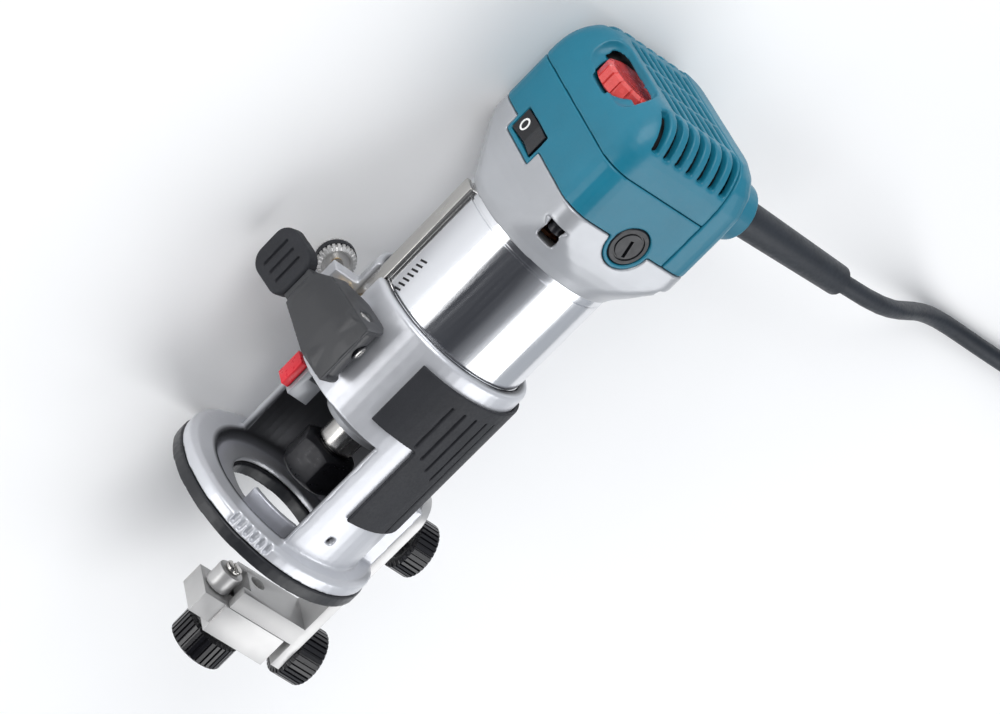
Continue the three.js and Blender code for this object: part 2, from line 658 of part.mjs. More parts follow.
function buildGuideArm(group) {
  const { halfX, plateY, armTop, armBottom } = GUIDE;
  const arm = cut(
    join(
      box(-halfX, halfX, 10, plateY - 3, armBottom, armTop - GAP),
      box(-halfX + 1, halfX - 1, 0, 11, armBottom + 3.6, armTop - GAP),
    ),
    box(-6.2, 0.2, 13, 31, -60, -30),
    rod("y", 3.2, 28, 45, [0, ADJUSTER_Z], 20),
    rod("z", 2.2, -60, -30, ROLLER, 16),
  );
  add(group, "guide_arm", arm, "nickel");
  const screw = join(rod("z", 1.9, -45.5, -25, ROLLER, 16), rod("z", 3.4, -26.3, -24.6, ROLLER, 20));
  add(group, "roller_screw", cut(screw, box(-4, 4, 6.1, 6.9, -25.3, -24)), "steel");
}

function buildGuideRoller(group) {
  add(group, "guide_roller", ring(2.2, 5.4, -35.2, -26.7, 32).translate([...ROLLER, 0]), "nickel");
}

// ---- Cord ----
// The cord lies on the floor in the finished frame: the route's points run from the guard's end.
const COIL = { x: -168, y: 289, middleR: 42.5, turnsWide: 3, bottom: 1.4 };
const CORD_ROUTE = [
  [-118.6, 92.8, 37.7], [-118.6, 108, 37.5], [-118.4, 123, 34.6], [-118, 140, 26], [-117.6, 157, 15],
  [-117.1, 172, 7.3], [-116.7, 187, 4.2], [-116.4, 203, 3.9], [-116.3, 221, 3.9], [-116.6, 240, 3.9],
  [-117.3, 259, 4.1],
];

function buildCord(group) {
  const points = CORD_ROUTE.map((point) => new THREE.Vector3(...point));
  const curve = new THREE.CatmullRomCurve3(points, false, "centripetal");
  const section = new THREE.Shape().absarc(0, 0, CORD_D / 2, 0, 2 * Math.PI);
  const steps = 24;
  const tube = new THREE.ExtrudeGeometry(section, {
    steps, curveSegments: 8, extrudePath: curve, bevelEnabled: false,
  });
  add(group, "cord_lead", solid(tube), "rubber");
  const half = (COIL.turnsWide * CORD_D) / 2;
  const top = COIL.bottom + 2 * half;
  const inner = COIL.middleR - half;
  const outer = COIL.middleR + half;
  const at = [COIL.x, COIL.y, 0];
  add(group, "cord_coil", ring(inner, outer, COIL.bottom, top, 48).translate(at), "rubber");
  const tie = box(inner - 1.6, outer + 1.6, -4, 4, 0.1, top + 1.4)
    .subtract(box(inner - 0.6, outer + 0.6, -5, 5, 1.1, top + 0.4));
  add(group, "cord_tie", tie.rotate([0, 0, -60]).translate(at), "black");
  const plugFoot = top + GAP;
  const plug = join(
    box(-COIL.middleR - 11, -COIL.middleR + 11, -16, 14, plugFoot, plugFoot + 15),
    box(-COIL.middleR - 5, -COIL.middleR + 5, 14, 24, plugFoot + 2, plugFoot + 12),
  );
  add(group, "plug_body", plug.translate(at), "rubber");
  for (const [side, name] of [[-1, "left"], [1, "right"]]) {
    const x = -COIL.middleR + side * 6.35;
    const pin = box(x - 0.8, x + 0.8, -33, -16 - GAP, plugFoot + 4.4, plugFoot + 10.6);
    add(group, "plug_pin_" + name, pin.translate(at), "brass");
  }
}

// ---- Assembly ----
const motorUnit = new THREE.Group();
const baseUnit = new THREE.Group();
baseUnit.rotation.z = THREE.MathUtils.degToRad(BASE_TURN);

buildBarrel(motorUnit);
buildRack(motorUnit);
buildHead(motorUnit);
buildElectrics(motorUnit);
buildSpindle(motorUnit);
buildCollet(motorUnit);
buildControls(motorUnit);
buildBase(baseUnit);
buildLever(baseUnit);
buildClamp(baseUnit);
buildDepthKnob(baseUnit);
buildGuideHolder(baseUnit);
buildGuideArm(baseUnit);
buildGuideRoller(baseUnit);
buildGuideScrews(baseUnit);

// Laid on its left side, the tool rests on the base plate's rim and the head's upper edge.
const restHead = { x: -HEAD_HALF_X, z: 207 };
const restRim = { x: -PLATE_R, z: PLATE_TOP };
const lean = Math.atan2(restHead.x - restRim.x, restHead.z - restRim.z);
const tool = new THREE.Group();
tool.add(motorUnit, baseUnit);
tool.rotation.y = -Math.PI / 2 - lean;
const bounds = new THREE.Box3().setFromObject(tool, true);
const centre = bounds.getCenter(new THREE.Vector3());
tool.position.set(-centre.x, -centre.y, -bounds.min.z);

const group = new THREE.Group();
group.add(tool);
buildCord(group);
export default group;
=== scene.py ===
"""Looks of a trim router that lies on its left side on a pale floor.

Shapes are worked out in the tool's own frame, in millimetres (+Z along the motor axis from the
base to the head, -Y the switch side, +X the side that faces up), and TOOL lays them down.
"""
import json
import math

import bmesh
import bpy
from mathutils import Matrix, Vector


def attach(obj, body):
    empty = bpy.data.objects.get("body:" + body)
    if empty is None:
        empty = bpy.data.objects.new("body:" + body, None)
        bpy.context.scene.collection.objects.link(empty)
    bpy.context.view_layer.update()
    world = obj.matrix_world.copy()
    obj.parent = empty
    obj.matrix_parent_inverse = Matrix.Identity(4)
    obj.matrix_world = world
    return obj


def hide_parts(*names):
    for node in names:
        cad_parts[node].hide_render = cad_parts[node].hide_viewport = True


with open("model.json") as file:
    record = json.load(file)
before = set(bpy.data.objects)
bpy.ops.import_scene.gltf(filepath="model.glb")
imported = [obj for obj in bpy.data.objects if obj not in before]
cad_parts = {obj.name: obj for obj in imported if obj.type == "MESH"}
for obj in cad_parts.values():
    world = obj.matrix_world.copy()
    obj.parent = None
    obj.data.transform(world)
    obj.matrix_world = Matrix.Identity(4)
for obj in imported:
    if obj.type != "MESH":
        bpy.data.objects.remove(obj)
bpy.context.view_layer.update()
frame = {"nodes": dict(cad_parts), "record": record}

MM = 0.001
RECORD = frame["record"]
BODY_OF = {node: body for body, nodes in RECORD["behaviour"]["bodies"].items() for node in nodes}
SLOT_OF = {part["node"]: part["material_slot"] for part in RECORD["subparts"]}

# ---- The tool's frame, from the spindle's joint ----
spindle_joint = next(j for j in RECORD["behaviour"]["joints"] if j["name"] == "spindle_spin")
AXIS_Z = Vector(spindle_joint["axis"]).normalized()
AXIS_Y = Vector((0, 1, 0))
AXIS_X = AXIS_Y.cross(AXIS_Z).normalized()
TOOL_TURN = Matrix((AXIS_X, AXIS_Y, AXIS_Z)).transposed().to_4x4()
TOOL = Matrix.Translation(spindle_joint["pos_m"]) @ TOOL_TURN @ Matrix.Scale(MM, 4)
BASE_TURN = math.radians(-11)  # the base against the head, about the motor axis
BASE = TOOL @ Matrix.Rotation(BASE_TURN, 4, "Z")

# ---- Main sizes, in millimetres, as in the CAD model ----
BARREL_R = 32.5
HEAD_HALF_X = 37.5
HEAD_HALF_Y = 32.6
HEAD_CENTRE_Y = 0.95
HEAD_CORNER = 10
BRUSH_Z = 178.5
SWITCH = Vector((-7.7, -31.7, 179.3))
DIAL = (0, -17, 214.5)
DEPTH_KNOB = (0, -38, 88.5)
UPPER_SCREW_Z = 21.7
ADJUSTER_Z = -41.2
LOWER_SCREW = (-3, 20.4, 0)
LEVER_CORNER = (33, -42, 83.5)
LEVER_TURN = 207.7  # degrees about Z
LEVER_PIVOT = (9, -6.5)  # in the lever's own frame
LEVER_PLACE = BASE @ Matrix.Translation(LEVER_CORNER) @ Matrix.Rotation(
    math.radians(LEVER_TURN), 4, "Z")

# Unit vectors along each axis, and the two across it
ALONG = {"x": Vector((1, 0, 0)), "y": Vector((0, 1, 0)), "z": Vector((0, 0, 1))}
ACROSS = {axis: (ALONG[first], ALONG[second]) for axis, first, second in ("xyz", "yzx", "zxy")}

# The dome of the head: (height, inset), and the flare under it:
# (height, half width, half depth, corner radius, centre along Y)
DOME = ((199.3, 0.0), (204, 0.05), (208, 0.35), (211, 0.9), (213.5, 1.6), (216, 2.5), (218, 3.5),
        (219.8, 4.6), (221.3, 5.8), (222.5, 7.1), (223.3, 8.4), (223.8, 9.8), (224, 11.2))
FLARE = ((151.4, 33.0, 33.0, 33.0, 0), (152.4, 33.3, 33.3, 33.3, 0), (155.5, 34.3, 34.0, 32, 0.1),
         (159.2, 35.6, 33.6, 27, 0.4), (163, 36.6, 33.0, 21, 0.6), (167, 37.2, 32.7, 15, 0.8),
         (170, 37.45, 32.65, 11.5, 0.9), (172, 37.5, 32.6, 10, 0.95), (178.4, 37.5, 32.6, 10, 0.95))

# Degrees from the front of the base
RIB_ANGLE = 51
RIB_PITCH = 4.2
SEAM_ANGLES = (24, 91, -36, 128)
PAD_GROOVES = ((93, 71.5, 92.5), (102, 68.5, 92.6), (111, 65, 92.7), (120.5, 62, 92.8),
               (128.5, 33.5, 92.9))  # (angle, low z, high z)


# ---- Camera ----
def make_camera():
    """A long lens above the switch side, rolled so that the tool points to the upper right."""
    azimuth = math.radians(49)
    pan = math.radians(0.99)
    tilt = math.radians(17.3)
    roll = math.radians(45)
    distance, height = 1168, 472
    side = Vector((math.cos(azimuth), math.sin(azimuth), 0))
    away = Vector((-math.sin(azimuth), math.cos(azimuth), 0))
    up = Vector((0, 0, 1))
    level = away * math.cos(pan) + side * math.sin(pan)
    right = side * math.cos(pan) - away * math.sin(pan)
    forward = level * math.cos(tilt) - up * math.sin(tilt)
    above = up * math.cos(tilt) + level * math.sin(tilt)
    axis_x = right * math.cos(roll) + above * math.sin(roll)
    axis_y = above * math.cos(roll) - right * math.sin(roll)
    turn = TOOL.to_3x3().normalized() @ Matrix((axis_x, axis_y, -forward)).transposed()
    data = bpy.data.cameras.new("camera")
    data.sensor_width = 36
    data.lens = 121.4
    camera = bpy.data.objects.new("camera", data)
    camera.matrix_world = Matrix.Translation(TOOL @ (up * height - away * distance)) @ turn.to_4x4()
    bpy.context.collection.objects.link(camera)
    bpy.context.scene.camera = camera


# ---- Materials ----
class Material:
    """A small builder for a procedural material."""

    def __init__(self, name, color, roughness, metallic=0.0, coat=0.0, specular=0.5):
        self.material = bpy.data.materials.new(name)
        self.material.use_nodes = True
        self.nodes = self.material.node_tree.nodes
        self.links = self.material.node_tree.links
        self.shader = self.nodes["Principled BSDF"]
        self.color = (*color, 1)
        self.shader.inputs["Base Color"].default_value = self.color
        self.shader.inputs["Roughness"].default_value = roughness
        self.shader.inputs["Metallic"].default_value = metallic
        self.shader.inputs["Coat Weight"].default_value = coat
        self.shader.inputs["Specular IOR Level"].default_value = specular
        self.roughness = roughness
        self.place = self.nodes.new("ShaderNodeTexCoord").outputs["Object"]

    def noise(self, scale, detail, stretch=None):
        """A noise in metres; stretch is a vector that scales each axis."""
        place = self.place
        if stretch:
            mapping = self.nodes.new("ShaderNodeMapping")
            mapping.inputs["Scale"].default_value = stretch
            self.links.new(place, mapping.inputs["Vector"])
            place = mapping.outputs["Vector"]
        noise = self.nodes.new("ShaderNodeTexNoise")
        noise.inputs["Scale"].default_value = scale
        noise.inputs["Detail"].default_value = detail
        self.links.new(place, noise.inputs["Vector"])
        return noise.outputs["Fac"]

    def ramp(self, value, low, high, start=0.35, end=0.65):
        ramp = self.nodes.new("ShaderNodeValToRGB")
        ramp.color_ramp.elements[0].position = start
        ramp.color_ramp.elements[1].position = end
        ramp.color_ramp.elements[0].color = (*low, 1)
        ramp.color_ramp.elements[1].color = (*high, 1)
        self.links.new(value, ramp.inputs["Fac"])
        return ramp.outputs["Color"]

    def vary_color(self, scale, amount, stretch=None):
        low = [c * (1 - amount) for c in self.color[:3]]
        high = [min(1, c * (1 + amount)) for c in self.color[:3]]
        color = self.ramp(self.noise(scale, 4, stretch), low, high)
        self.links.new(color, self.shader.inputs["Base Color"])
        return self

    def vary_roughness(self, scale, amount, stretch=None):
        low, high = max(0.02, self.roughness - amount), min(1, self.roughness + amount)
        value = self.ramp(self.noise(scale, 4, stretch), (low,) * 3, (high,) * 3, 0.3, 0.7)
        self.links.new(value, self.shader.inputs["Roughness"])
        return self

    def bump(self, scale, distance, strength, stretch=None):
        bump = self.nodes.new("ShaderNodeBump")
        bump.inputs["Strength"].default_value = strength
        bump.inputs["Distance"].default_value = distance
        self.links.new(self.noise(scale, 2, stretch), bump.inputs["Height"])
        self.links.new(bump.outputs["Normal"], self.shader.inputs["Normal"])
        return self

    def painted_edge_highlight(self, color, amount):
        """Lighter edges, from the pointiness of the surface: a painted edge highlight, over a
        varied colour.
        """
        geometry = self.nodes.new("ShaderNodeNewGeometry")
        edge = self.ramp(geometry.outputs["Pointiness"], (0, 0, 0), (amount,) * 3, 0.52, 0.62)
        mix = self.nodes.new("ShaderNodeMixRGB")
        mix.inputs["Color2"].default_value = (*color, 1)
        source = self.shader.inputs["Base Color"].links[0].from_socket
        self.links.new(source, mix.inputs["Color1"])
        self.links.new(edge, mix.inputs["Fac"])
        self.links.new(mix.outputs["Color"], self.shader.inputs["Base Color"])
        return self


def make_materials():
    made = {}

    def new(slot, *args, **kwargs):
        made[slot] = Material(slot, *args, **kwargs)
        return made[slot]

    # Head
    # The teal plastic's lighter edges are a painted edge highlight
    new(
        "teal_plastic", (0.008, 0.155, 0.235), 0.40, coat=0.08, specular=0.35
    ).vary_color(60, 0.05).vary_roughness(900, 0.07).bump(2600, 0.00006, 0.35).painted_edge_highlight(
        (0.05, 0.25, 0.34), 0.35)
    new(
        "grey_plastic", (0.40, 0.41, 0.43), 0.32, 0.35
    ).vary_color(50, 0.03).vary_roughness(300, 0.03).bump(900, 0.00001, 0.06)
    # Light metals
    new(
        "polished_aluminium", (0.73, 0.74, 0.765), 0.17, 1.0
    ).vary_roughness(500, 0.05, (0.04, 1, 1)).bump(3000, 0.000012, 0.25, (0.02, 1, 1))
    new(
        "cast_aluminium", (0.58, 0.59, 0.62), 0.34, 0.45
    ).vary_color(45, 0.03).vary_roughness(300, 0.03).bump(900, 0.00001, 0.06)
    new(
        "bright_steel", (0.58, 0.565, 0.54), 0.24, 1.0
    ).vary_roughness(600, 0.05, (0.1, 1, 1)).bump(1600, 0.00001, 0.1, (0.1, 1, 1))
    new(
        "satin_nickel", (0.54, 0.535, 0.53), 0.36, 0.45
    ).vary_color(60, 0.03).vary_roughness(260, 0.03).bump(900, 0.00001, 0.05)
    # Blacks
    new(
        "base_plastic", (0.016, 0.017, 0.020), 0.38, specular=0.4
    ).vary_roughness(600, 0.08).bump(2500, 0.00005, 0.3)
    new(
        "black_plastic", (0.005, 0.005, 0.007), 0.24, coat=0.25, specular=0.35
    ).vary_roughness(300, 0.04).bump(1800, 0.00002, 0.06)
    new(
        "lever_black", (0.022, 0.023, 0.026), 0.42, coat=0.08
    ).vary_color(60, 0.08).vary_roughness(300, 0.04).bump(1500, 0.00002, 0.08)
    new(
        "black_steel", (0.012, 0.012, 0.015), 0.34, 0.3, specular=0.4
    ).vary_roughness(500, 0.08).bump(1800, 0.00004, 0.15)
    new(
        "grip_rubber", (0.020, 0.021, 0.025), 0.62, specular=0.3
    ).vary_color(90, 0.10).vary_roughness(1100, 0.07).bump(4000, 0.0001, 0.5)
    new(
        "cord_rubber", (0.018, 0.022, 0.029), 0.5, specular=0.35
    ).vary_color(80, 0.12).vary_roughness(700, 0.08).bump(3500, 0.00006, 0.35)
    new("dark_gap", (0.006, 0.006, 0.007), 0.8).vary_roughness(500, 0.1)
    # Small and inner pieces
    new("copper", (0.62, 0.28, 0.14), 0.35, 1.0).vary_roughness(500, 0.08)
    new("brass", (0.66, 0.48, 0.22), 0.32, 1.0).vary_roughness(500, 0.08)
    new("carbon", (0.02, 0.02, 0.02), 0.7).vary_roughness(500, 0.1)
    new(
        "dial_plastic", (0.62, 0.06, 0.055), 0.25, coat=0.3
    ).vary_color(150, 0.12).vary_roughness(500, 0.06)
    new("red_plastic", (0.80, 0.012, 0.03), 0.3).vary_roughness(500, 0.06)
    new("white_print", (0.82, 0.82, 0.80), 0.4).vary_roughness(500, 0.06)
    return {slot: material.material for slot, material in made.items()}


MATERIALS = make_materials()


# ---- Mesh helpers ----
def link(name, mesh, body, slot, *nodes):
    """Makes an object of a mesh in the row frame, with its material, body and replaced nodes."""
    piece = bpy.data.objects.new(name, mesh)
    bpy.context.collection.objects.link(piece)
    mesh.materials.clear()
    mesh.materials.append(MATERIALS[slot])
    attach(piece, body)
    if nodes:
        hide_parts(*nodes)
    return piece


def smooth_by_angle(mesh, degrees=32):
    mesh.shade_smooth()
    mesh.set_sharp_from_angle(angle=math.radians(degrees))


def loose_object(mesh):
    """An object for a mesh that is still being worked on."""
    piece = bpy.data.objects.new("work", mesh)
    bpy.context.collection.objects.link(piece)
    return piece


def evaluated(piece):
    """The mesh of an object with its modifiers applied, and the object removed."""
    graph = bpy.context.evaluated_depsgraph_get()
    mesh = bpy.data.meshes.new_from_object(piece.evaluated_get(graph))
    bpy.data.objects.remove(piece)
    return mesh


def node_copy(node):
    """A loose object with a clean copy of a CAD node's mesh."""
    mesh = frame["nodes"][node].data.copy()
    work = bmesh.new()
    work.from_mesh(mesh)
    bmesh.ops.remove_doubles(work, verts=work.verts, dist=2e-6)
    bmesh.ops.dissolve_limit(
        work, angle_limit=math.radians(0.5), verts=work.verts, edges=work.edges)
    work.to_mesh(mesh)
    work.free()
    return loose_object(mesh)


def bevelled(node, width=0.35, slot=None):
    """A CAD node with its edges broken, for machined and small moulded pieces."""
    work = node_copy(node)
    bevel = work.modifiers.new("bevel", "BEVEL")
    bevel.width = width * MM
    bevel.segments = 2
    bevel.limit_method = "ANGLE"
    bevel.angle_limit = math.radians(35)
    mesh = evaluated(work)
    smooth_by_angle(mesh)
    return link(node + "_look", mesh, BODY_OF[node], slot or SLOT_OF[node], node)


def combine(work, other, operation):
    """A boolean of two loose objects; the other one is removed."""
    boolean = work.modifiers.new("boolean", "BOOLEAN")
    boolean.operation = operation
    boolean.solver = "EXACT"
    boolean.object = other
    mesh = evaluated(work)
    bpy.data.objects.remove(other)
    return loose_object(mesh)


def softened(work, voxel, rounds):
    """A loose object remeshed with small voxels and smoothed, which rounds its edges."""
    remesh = work.modifiers.new("remesh", "REMESH")
    remesh.mode = "VOXEL"
    remesh.voxel_size = voxel * MM
    smooth = work.modifiers.new("smooth", "SMOOTH")
    smooth.factor = 0.5
    smooth.iterations = rounds
    mesh = evaluated(work)
    mesh.shade_smooth()
    return mesh


def cast(node, voxel, rounds, cutters=(), additions=()):
    """A CAD node as a moulding or casting with rounded edges, after some cuts and joins."""
    work = node_copy(node)
    for addition in additions:
        work = combine(work, addition, "UNION")
    for cutter in cutters:
        work = combine(work, cutter, "DIFFERENCE")
    mesh = softened(work, voxel, rounds)
    return link(node + "_look", mesh, BODY_OF[node], SLOT_OF[node], node)


def loose(mesh_maker, place):
    """A loose object from a bmesh function that works in millimetres in the frame of place."""
    work = bmesh.new()
    mesh_maker(work)
    bmesh.ops.recalc_face_normals(work, faces=work.faces)
    mesh = bpy.data.meshes.new("work")
    work.to_mesh(mesh)
    work.free()
    mesh.transform(place)
    return loose_object(mesh)


def smooth_mesh(mesh_maker, place, degrees):
    """The mesh of a bmesh function, smooth except at its sharper edges."""
    mesh = evaluated(loose(mesh_maker, place))
    smooth_by_angle(mesh, degrees)
    return mesh


def cut(work, mesh_maker, place=TOOL):
    """A loose object less the solid of a bmesh function."""
    return combine(work, loose(mesh_maker, place), "DIFFERENCE")


def skin(work, rows):
    """Faces between each two neighbouring rings of vertices."""
    count = len(rows[0])
    for lower, upper in zip(rows, rows[1:]):
        for i in range(count):
            j = (i + 1) % count
            work.faces.new((lower[i], lower[j], upper[j], upper[i]))


def fill_outline(work, rings):
    """Joins rings of points into a closed skin; each ring has the same number of points."""
    rows = [[work.verts.new(point) for point in ring] for ring in rings]
    skin(work, rows)
    work.faces.new(rows[0][::-1])
    work.faces.new(rows[-1])


def fill_hoop(work, rings):
    """Joins rings of points into a closed skin that ends where it starts."""
    rows = [[work.verts.new(point) for point in ring] for ring in rings]
    skin(work, rows + rows[:1])


def circle(radius, centre, axis, count):
    step = 2 * math.pi / count
    across, upward = ACROSS[axis]
    return [
        centre + (across * math.cos(i * step) + upward * math.sin(i * step)) * radius
        for i in range(count)
    ]


def turned(outline, axis="z", centre=(0, 0, 0), count=64):
    """A bmesh maker: rings of (radius, along) about an axis through centre."""

    def make(work):
        fill_outline(work, [
            circle(radius, Vector(centre) + ALONG[axis] * offset, axis, count)
            for radius, offset in outline
        ])

    return make


def block(low, high):
    """A bmesh maker: a box between two corners."""

    def make(work):
        size = Vector(high) - Vector(low)
        middle = (Vector(high) + Vector(low)) / 2
        matrix = Matrix.Translation(middle) @ Matrix.Diagonal((*size, 1))
        bmesh.ops.create_cube(work, size=1, matrix=matrix)

    return make


# ---- The head ----
def rounded_outline(half_x, half_y, corner, centre_y, z, steps=14):
    """The points of a rectangle with round corners at a height."""
    points = []
    for quarter, (sx, sy) in enumerate(((1, 1), (-1, 1), (-1, -1), (1, -1))):
        for i in range(steps + 1):
            angle = (quarter + i / steps) * math.pi / 2
            points.append(Vector((
                sx * (half_x - corner) + corner * math.cos(angle),
                centre_y + sy * (half_y - corner) + corner * math.sin(angle), z,
            )))
    return points


def head_outline(inset, z, corner_extra=0.0):
    """The head's outline moved inwards."""
    corner = max(2.0, HEAD_CORNER - inset * 0.6 + corner_extra)
    return rounded_outline(HEAD_HALF_X - inset, HEAD_HALF_Y - inset, corner, HEAD_CENTRE_Y, z)


def shell(levels):
    """A bmesh maker: a solid through outlines at rising heights."""

    def make(work):
        fill_outline(work, levels)

    return make


def dome_levels(inset, drop, base=DOME[0][0]):
    """The dome's outlines moved inwards and down; levels below the base are lifted to it."""
    rows = [(max(base, z) - drop, extra) for z, extra in DOME]
    return [head_outline(inset + extra, z, extra * 0.5) for z, extra in rows]


def rounded_block(size, radius, bottom_radius, place):
    """A maker of a box with rounded upright edges and a rounded bottom, open upwards."""
    width, depth, height = size

    def make(work):
        rings = []
        for step in range(9):
            angle = math.pi / 2 * step / 8
            inset = bottom_radius * (1 - math.sin(angle))
            z = bottom_radius * (1 - math.cos(angle))
            corner = max(0.5, radius - inset)
            rings.append(rounded_outline(width / 2 - inset, depth / 2 - inset, corner, 0, z, 10))
        rings.append(rounded_outline(width / 2, depth / 2, radius, 0, height, 10))
        fill_outline(work, [[place @ point for point in ring] for ring in rings])

    return make


def side_slot(side, y, width):
    """A maker of an upright slot in the side of the dome that runs over its edge."""

    def make(work):
        low, high = y - width / 2, y + width / 2
        corners = ((43, 211.6), (33, 211.6), (24.6, 219), (24.6, 230), (43, 230))
        fill_outline(work, [
            [Vector((side * x, y_at, z)) for x, z in corners] for y_at in (low, high)
        ])

    return make


def make_head():
    """The domed upper cover with its scoop, grid and side slots, and a dark shell inside it as
    painted shade.
    """
    rear_cut = block((-45, 17.5, 150), (45, 80, 240))

    upper = loose(shell(dome_levels(0, 0)), TOOL)
    upper = cut(upper, shell(dome_levels(2.5, 2.6, 198)))
    scoop_floor = loose(block((-19, -28.6, 206), (21, -14, 215.4)), TOOL)
    upper = combine(upper, scoop_floor, "UNION")
    scoop_place = Matrix.Translation((1, -25.35, 216.25)) @ Matrix.Rotation(
        math.radians(43), 4, "X")
    upper = cut(upper, rounded_block((37, 19, 30), 8, 4.5, scoop_place))
    upper = cut(upper, turned(((14.7, 210), (14.7, 218.9)), "z", (*DIAL[:2], 0)))
    for row in range(7):
        y = -16.2 + row * 4.75
        for low, high in ((-21, -7.6), (-6, 7.4), (9, 22.5)):
            upper = cut(upper, block((low, y, 218), (high, y + 2.9, 230)))
    for side in (-1, 1):
        for column in range(7):
            width = 3.2 if column == 0 else 3.0
            upper = cut(upper, side_slot(side, -21.5 + 6.05 * column, width))
    upper = cut(upper, rear_cut)
    mesh = softened(upper, 0.5, 4)
    link("upper_cover", mesh, "motor_unit", "teal_plastic", "upper_head_cover")

    # The dome's lowest level is left out, because it would be lifted onto the next one
    # A near-black shell under the vents: painted shade inside the head
    shade_liner = loose(shell(dome_levels(4.2, 5.2, 204)[1:]), TOOL)
    shade_liner = cut(shade_liner, shell(dome_levels(6.2, 7.2, 204)[1:]))
    shade_liner = cut(shade_liner, turned(((14.9, 209), (14.9, 219.5)), "z", (*DIAL[:2], 0)))
    shade_liner = cut(shade_liner, rear_cut)
    mesh = softened(shade_liner, 1.0, 2)
    link("vent_shade_liner", mesh, "motor_unit", "dark_gap")


def make_flare():
    """The grey housing between barrel and head, with its brush holes and screw pockets."""
    flare = loose(shell([rounded_outline(a, b, c, y, z, 20) for z, a, b, c, y in FLARE]), TOOL)
    flare = cut(flare, turned(((31.9, 150), (31.9, 158), (28, 162)), "z", (0, 0, 0), 96))
    flare = cut(flare, shell([head_outline(6, 161), head_outline(2.8, 179.5)]))
    for side in (-1, 1):
        inner, outer = sorted((29 * side, 39 * side))
        flare = cut(flare, turned(((10, inner), (10, outer)), "x", (0, 0, BRUSH_Z)))
        for front in (-1, 1):
            screw = (side * 31, HEAD_CENTRE_Y + front * 25.6, 0)
            pocket = ((3.9, 161), (3.8, 170.4), (1.8, 170.5), (1.8, 180))
            flare = cut(flare, turned(pocket, "z", screw))
            corner = (side * 36.2, HEAD_CENTRE_Y + front * 31.3, 0)
            scoop = ((1.0, 156.5), (6.6, 170.0), (6.6, 170.5), (1.0, 170.5))
            flare = cut(flare, turned(scoop, "z", corner))
    flare = cut(flare, block((SWITCH.x - 11.3, -36, SWITCH.z - 7), (SWITCH.x + 11.3, -26, 205)))
    mesh = softened(flare, 0.5, 6)
    link("flare", mesh, "motor_unit", "grey_plastic", "flare_housing")


# ---- The barrel ----
def ring_mesh(outline, place, count):
    """A closed ring about the Z axis, from an outline of (radius, z)."""

    def make(work):
        fill_hoop(work, [circle(radius, Vector((0, 0, z)), "z", count) for radius, z in outline])

    return smooth_mesh(make, place, 25)


def depth_marks(work):
    """A bmesh function: seven short slanted lines on the barrel."""
    for tick in range(7):
        matrix = Matrix.Rotation(math.radians(3), 4, "Z") @ Matrix.Translation(
            (0, -BARREL_R, 106.4 + 2.35 * tick)) @ Matrix.Rotation(math.radians(-24), 4, "Y")
        bmesh.ops.create_cube(work, size=1, matrix=matrix @ Matrix.Diagonal((3.4, 0.35, 0.85, 1)))


def make_barrel():
    """The turned barrel with two grooves, and its depth marks."""
    outline = [
        (20, 60.5), (31, 60.5), (31.9, 60.9), (32.4, 61.6), (BARREL_R, 62.3), (BARREL_R, 104.6),
        (32.25, 104.8), (32.25, 105.4), (BARREL_R, 105.6), (BARREL_R, 148.1), (32.1, 148.35),
        (32.1, 149.0), (BARREL_R, 149.25), (BARREL_R, 158), (30, 158), (30, 63.5), (20, 63.5),
    ]
    mesh = ring_mesh(outline, TOOL, 160)
    link("barrel", mesh, "motor_unit", "polished_aluminium", "motor_barrel")
    link("depth_marks", evaluated(loose(depth_marks, TOOL)), "motor_unit", "dark_gap")


# ---- Knobs and the dial ----
def toothed_ring(radius, depth, count, groove, axis, centre, along):
    """Points of a ribbed ring; groove is the share of the pitch that is cut."""
    across, upward = ACROSS[axis]
    middle = Vector(centre) + ALONG[axis] * along
    points = []
    for tooth in range(count):
        for share, r in ((0, radius), (1 - groove, radius), (1 - groove * 0.75, radius - depth),
                         (1 - groove * 0.25, radius - depth)):
            angle = 2 * math.pi * (tooth + share) / count
            points.append(middle + (across * math.cos(angle) + upward * math.sin(angle)) * r)
    return points


def ribbed(name, node, slot, axis, centre, radius, ends, ribs, place, dish=1.2):
    """A ribbed knob between its ends along its axis, with chamfered rims and dished ends.

    ribs is (count, depth, share of the pitch that is cut).
    """
    low, high = ends
    count, depth, groove = ribs

    def make(work):
        half = (
            (dish, radius * 0.62), (0.2, radius * 0.70), (0, radius * 0.8),
            (0, radius - 1.0 - depth), (1.0, radius),
        )  # (distance from the end, radius)
        levels = [(low + step, r) for step, r in half]
        levels += [(high - step, r) for step, r in half[::-1]]
        fill_outline(work, [
            toothed_ring(r, depth if r == radius else 0.0, count, groove, axis, centre, along)
            for along, r in levels
        ])

    link(name, smooth_mesh(make, place, 28), node, slot, node)


def shank(name, body, axis, centre, radius, ends):
    """A plain steel shank between its ends along its axis, in the base's frame."""
    low, high = ends
    outline = ((radius - 0.4, low), (radius, low + 0.5), (radius, high - 0.5), (radius - 0.4, high))
    link(name, smooth_mesh(turned(outline, axis, centre, 32), BASE, 40), body, "bright_steel")


